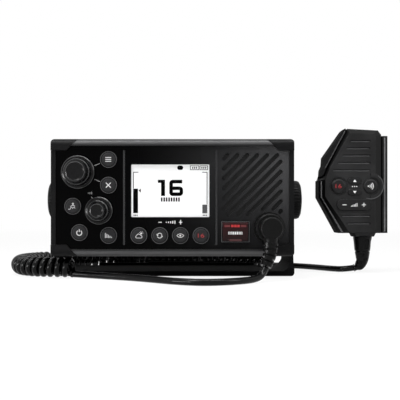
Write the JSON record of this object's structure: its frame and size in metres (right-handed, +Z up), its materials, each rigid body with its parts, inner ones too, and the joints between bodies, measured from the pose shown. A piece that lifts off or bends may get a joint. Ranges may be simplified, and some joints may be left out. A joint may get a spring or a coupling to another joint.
{
  "type": "marine vhf radio",
  "caption": "Fixed-mount marine VHF radio in a U-shaped gimbal bracket, with knobs, keys, a lit display, a speaker grille and a hand microphone on a curly cord.",
  "frame": {"origin": "centre of the bracket's underside", "axes": "+X to the right as seen from the front, +Y to the rear, +Z up"},
  "size_m": [0.3251, 0.1788, 0.125],
  "materials": {
    "housing_plastic": "fine-textured moulded black",
    "faceplate_plastic": "gloss black with a soft sheen",
    "trim_plastic": "dark grey satin",
    "divider_plastic": "light grey satin",
    "display_glass": "clear window",
    "display_panel": "backlit white display",
    "key_rubber": "dark grey silicone with printed marks",
    "knob_rubber": "soft-touch black",
    "alert_red": "translucent dark red",
    "grille_cloth": "woven acoustic cloth",
    "cast_alloy": "black powder coat on die-cast aluminium",
    "bracket_paint": "dark grey powder coat on bent steel",
    "steel": "stainless",
    "connector_metal": "nickel-plated",
    "circuit_board": "green solder mask",
    "speaker_metal": "black lacquered frame",
    "seal_rubber": "black synthetic rubber",
    "cord_rubber": "black polyurethane jacket"
  },
  "bodies": {
    "bracket": {"bracket": "bracket_paint", "friction_pads": "seal_rubber", "cord_front": "cord_rubber", "cord_coil": "cord_rubber", "cord_rear": "cord_rubber"},
    "clamp_left": {"clamp_knob_left": "housing_plastic", "clamp_stud_left": "steel"},
    "clamp_right": {"clamp_knob_right": "housing_plastic", "clamp_stud_right": "steel"},
    "radio": {"rear_chassis": "cast_alloy", "chassis_gasket": "seal_rubber", "chassis_screws": "steel", "front_bezel": "housing_plastic", "top_trim": "trim_plastic", "bottom_trim": "trim_plastic", "faceplate": "faceplate_plastic", "divider_bars": "divider_plastic", "display_lens": "display_glass", "lcd_panel": "display_panel", "grille_backing": "grille_cloth", "speaker": "speaker_metal", "key_mat": "key_rubber", "control_board": "circuit_board", "main_board": "circuit_board", "antenna_socket": "connector_metal", "network_socket": "connector_metal", "mic_socket": "connector_metal", "distress_frame": "housing_plastic", "plug_body": "housing_plastic", "plug_relief": "seal_rubber"},
    "channel_shaft": {"channel_shaft": "steel"},
    "channel_knob": {"channel_knob": "knob_rubber"},
    "volume_shaft": {"volume_shaft": "steel"},
    "volume_knob": {"volume_knob": "knob_rubber"},
    "key_menu": {"key_menu": "key_rubber"},
    "key_clear": {"key_clear": "key_rubber"},
    "key_tracks": {"key_tracks": "key_rubber"},
    "key_power": {"key_power": "key_rubber"},
    "key_squelch": {"key_squelch": "key_rubber"},
    "key_weather": {"key_weather": "key_rubber"},
    "key_scan": {"key_scan": "key_rubber"},
    "key_watch": {"key_watch": "key_rubber"},
    "key_channel_16": {"key_channel_16": "key_rubber"},
    "distress_cover": {"distress_cover": "alert_red"},
    "distress_button": {"distress_button": "alert_red"},
    "coupling_ring": {"coupling_ring": "housing_plastic"},
    "handset": {"handset_front": "housing_plastic", "handset_back": "housing_plastic", "handset_screws": "steel", "handset_board": "circuit_board", "handset_speaker": "speaker_metal", "handset_gland": "housing_plastic", "handset_relief": "seal_rubber", "hanger_stud": "housing_plastic"},
    "ptt_lever": {"ptt_lever": "key_rubber"},
    "button_red": {"button_red": "alert_red"},
    "button_round": {"button_round": "key_rubber"},
    "button_up": {"button_up": "key_rubber"},
    "button_down": {"button_down": "key_rubber"},
    "volume_rocker": {"volume_rocker": "key_rubber"}
  },
  "joints": [
    {"name": "radio_tilt", "type": "hinge", "parent": "bracket", "child": "radio", "pos_m": [0, 0, 0.0635], "axis": [1, 0, 0], "range_deg": [-20, 0]},
    {"name": "clamp_left_turn", "type": "hinge", "parent": "bracket", "child": "clamp_left", "pos_m": [-0.105, 0, 0.0635], "axis": [-1, 0, 0], "range_deg": [0, 180]},
    {"name": "clamp_right_turn", "type": "hinge", "parent": "bracket", "child": "clamp_right", "pos_m": [0.105, 0, 0.0635], "axis": [1, 0, 0], "range_deg": [0, 180]},
    {"name": "channel_turn", "type": "hinge", "parent": "radio", "child": "channel_shaft", "pos_m": [-0.0744, -0.07, 0.0845], "axis": [0, 1, 0], "continuous": true},
    {"name": "channel_press", "type": "slide", "parent": "channel_shaft", "child": "channel_knob", "axis": [0, 1, 0], "range_m": [0, 0.0006], "stiffness_N_per_m": 2500, "springref_m": -0.0004},
    {"name": "volume_turn", "type": "hinge", "parent": "radio", "child": "volume_shaft", "pos_m": [-0.0579, -0.07, 0.0542], "axis": [0, 1, 0], "continuous": true},
    {"name": "volume_press", "type": "slide", "parent": "volume_shaft", "child": "volume_knob", "axis": [0, 1, 0], "range_m": [0, 0.0006], "stiffness_N_per_m": 2500, "springref_m": -0.0004},
    {"name": "key_menu_press", "type": "slide", "parent": "radio", "child": "key_menu", "axis": [0, 1, 0], "range_m": [0, 0.0008], "stiffness_N_per_m": 1500, "springref_m": -0.0004},
    {"name": "key_clear_press", "type": "slide", "parent": "radio", "child": "key_clear", "axis": [0, 1, 0], "range_m": [0, 0.0008], "stiffness_N_per_m": 1500, "springref_m": -0.0004},
    {"name": "key_tracks_press", "type": "slide", "parent": "radio", "child": "key_tracks", "axis": [0, 1, 0], "range_m": [0, 0.0008], "stiffness_N_per_m": 1500, "springref_m": -0.0004},
    {"name": "key_power_press", "type": "slide", "parent": "radio", "child": "key_power", "axis": [0, 1, 0], "range_m": [0, 0.0008], "stiffness_N_per_m": 1500, "springref_m": -0.0004},
    {"name": "key_squelch_press", "type": "slide", "parent": "radio", "child": "key_squelch", "axis": [0, 1, 0], "range_m": [0, 0.0008], "stiffness_N_per_m": 1500, "springref_m": -0.0004},
    {"name": "key_weather_press", "type": "slide", "parent": "radio", "child": "key_weather", "axis": [0, 1, 0], "range_m": [0, 0.0008], "stiffness_N_per_m": 1500, "springref_m": -0.0004},
    {"name": "key_scan_press", "type": "slide", "parent": "radio", "child": "key_scan", "axis": [0, 1, 0], "range_m": [0, 0.0008], "stiffness_N_per_m": 1500, "springref_m": -0.0004},
    {"name": "key_watch_press", "type": "slide", "parent": "radio", "child": "key_watch", "axis": [0, 1, 0], "range_m": [0, 0.0008], "stiffness_N_per_m": 1500, "springref_m": -0.0004},
    {"name": "key_channel_16_press", "type": "slide", "parent": "radio", "child": "key_channel_16", "axis": [0, 1, 0], "range_m": [0, 0.0008], "stiffness_N_per_m": 1500, "springref_m": -0.0004},
    {"name": "distress_open", "type": "hinge", "parent": "radio", "child": "distress_cover", "pos_m": [0.0496, -0.06485, 0.04415], "axis": [-1, 0, 0], "range_deg": [0, 95], "stiffness_Nm_per_rad": 0.001, "springref_deg": -28.65},
    {"name": "distress_press", "type": "slide", "parent": "radio", "child": "distress_button", "axis": [0, 1, 0], "range_m": [0, 0.0008], "stiffness_N_per_m": 2500, "springref_m": -0.0004},
    {"name": "coupling_turn", "type": "hinge", "parent": "radio", "child": "coupling_ring", "pos_m": [0.0762, -0.07, 0.0408], "axis": [0, 1, 0], "range_deg": [0, 360]},
    {"name": "handset_lift", "type": "slide", "parent": "bracket", "child": "handset", "axis": [0, 0, 1], "range_m": [0, 0.04]},
    {"name": "ptt_squeeze", "type": "hinge", "parent": "handset", "child": "ptt_lever", "pos_m": [0.1474, 0, 0.1209], "axis": [0, -1, 0], "range_deg": [0, 2], "stiffness_Nm_per_rad": 3, "springref_deg": -2.86},
    {"name": "button_red_press", "type": "slide", "parent": "handset", "child": "button_red", "axis": [0, 1, 0], "range_m": [0, 0.0007], "stiffness_N_per_m": 1500, "springref_m": -0.0004},
    {"name": "button_round_press", "type": "slide", "parent": "handset", "child": "button_round", "axis": [0, 1, 0], "range_m": [0, 0.0007], "stiffness_N_per_m": 1500, "springref_m": -0.0004},
    {"name": "button_up_press", "type": "slide", "parent": "handset", "child": "button_up", "axis": [0, 1, 0], "range_m": [0, 0.0007], "stiffness_N_per_m": 1500, "springref_m": -0.0004},
    {"name": "button_down_press", "type": "slide", "parent": "handset", "child": "button_down", "axis": [0, 1, 0], "range_m": [0, 0.0007], "stiffness_N_per_m": 1500, "springref_m": -0.0004},
    {"name": "rocker_tilt", "type": "hinge", "parent": "handset", "child": "volume_rocker", "pos_m": [0.1535, -0.01285, 0.0591], "axis": [0, 0, 1], "range_deg": [-2, 2], "stiffness_Nm_per_rad": 1}
  ]
}
